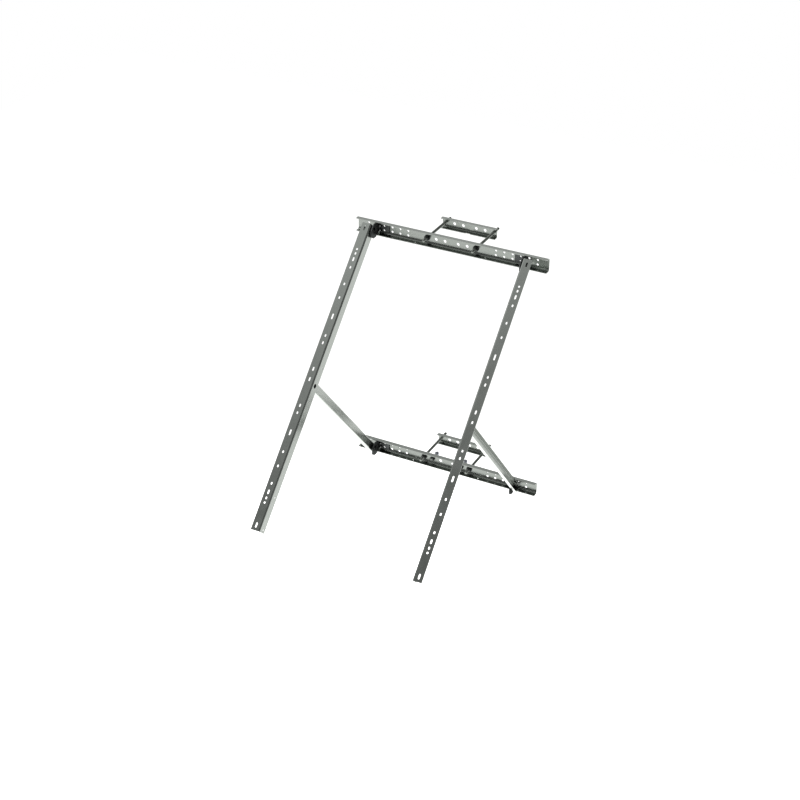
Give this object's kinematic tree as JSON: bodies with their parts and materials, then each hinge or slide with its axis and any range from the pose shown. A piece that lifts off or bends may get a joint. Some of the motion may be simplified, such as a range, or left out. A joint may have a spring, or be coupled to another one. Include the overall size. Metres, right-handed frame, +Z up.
{
  "type": "solar panel pole mount",
  "caption": "Tilting solar panel mount for a pole: two clamped cross channels carry slotted angle rails on pivots, propped by folded struts.",
  "frame": {"origin": "the middle of the upper cross channel's pole-bearing face, on its hole row", "axes": "+Z up the pole, +X along the cross channels, +Y from the panel side back through the pole"},
  "size_m": [0.8964, 1.2695, 1.1762],
  "materials": {
    "channel_zinc": "satin",
    "rail_zinc": "satin",
    "strut_zinc": "satin",
    "bracket_black": "satin",
    "rod_zinc": "satin",
    "fastener_zinc": "satin",
    "fastener_pale": "satin",
    "fastener_black": "satin"
  },
  "bodies": {
    "upper_mount": {"upper_cross_channel": "channel_zinc", "upper_right_bracket": "bracket_black", "upper_left_bracket": "bracket_black", "upper_clamp_rods": "rod_zinc", "upper_front_nuts": "fastener_black", "upper_front_washers": "fastener_black", "upper_bracket_bolts": "fastener_pale", "upper_bracket_nuts": "fastener_black", "upper_pivot_bolts": "fastener_black", "upper_pivot_nuts": "fastener_black", "upper_pivot_washers": "fastener_black", "upper_pivot_spacers": "fastener_black"},
    "upper_jaw": {"upper_clamp_channel": "channel_zinc", "upper_back_nuts": "fastener_zinc", "upper_back_washers": "fastener_zinc"},
    "rails": {"right_rail": "rail_zinc", "left_rail": "rail_zinc", "strut_bolts": "fastener_black", "strut_bolt_nuts": "fastener_black", "strut_bolt_washers": "fastener_black"},
    "struts": {"right_strut": "strut_zinc", "left_strut": "strut_zinc"},
    "lower_mount": {"lower_cross_channel": "channel_zinc", "lower_right_bracket": "bracket_black", "lower_left_bracket": "bracket_black", "lower_clamp_rods": "rod_zinc", "lower_front_nuts": "fastener_black", "lower_front_washers": "fastener_black", "lower_bracket_bolts": "fastener_pale", "lower_bracket_nuts": "fastener_black", "lower_pivot_bolts": "fastener_black", "lower_pivot_nuts": "fastener_black", "lower_pivot_washers": "fastener_black", "lower_pivot_spacers": "fastener_black", "lower_studs": "rod_zinc", "lower_stud_front_nuts": "fastener_black", "lower_stud_back_nuts": "fastener_pale", "lower_stud_sleeves": "fastener_pale"},
    "lower_jaw": {"lower_clamp_channel": "channel_zinc", "lower_back_nuts": "fastener_zinc", "lower_back_washers": "fastener_zinc"}
  },
  "joints": [
    {"name": "panel_tilt", "type": "hinge", "parent": "upper_mount", "child": "rails", "pos_m": [0, -0.0545, 0.008], "axis": [-1, 0, 0], "range_deg": [-20, 20]},
    {"name": "strut_swing", "type": "hinge", "parent": "rails", "child": "struts", "pos_m": [0, -0.56626, -0.50851], "axis": [-1, 0, 0], "range_deg": [-38, 38]},
    {"name": "lower_pivot", "type": "hinge", "parent": "struts", "child": "lower_mount", "pos_m": [0, -0.0545, -1.1007], "axis": [-1, 0, 0], "range_deg": [-18, 18]},
    {"name": "upper_jaw_slide", "type": "slide", "parent": "upper_mount", "child": "upper_jaw", "axis": [0, 1, 0], "range_m": [-0.1, 0.025]},
    {"name": "lower_jaw_slide", "type": "slide", "parent": "lower_mount", "child": "lower_jaw", "axis": [0, 1, 0], "range_m": [-0.1, 0.025]}
  ],
  "couplings": [
    {"joint": "strut_swing", "follows": "panel_tilt", "ratio": -1.868},
    {"joint": "lower_pivot", "follows": "panel_tilt", "ratio": 0.868}
  ]
}
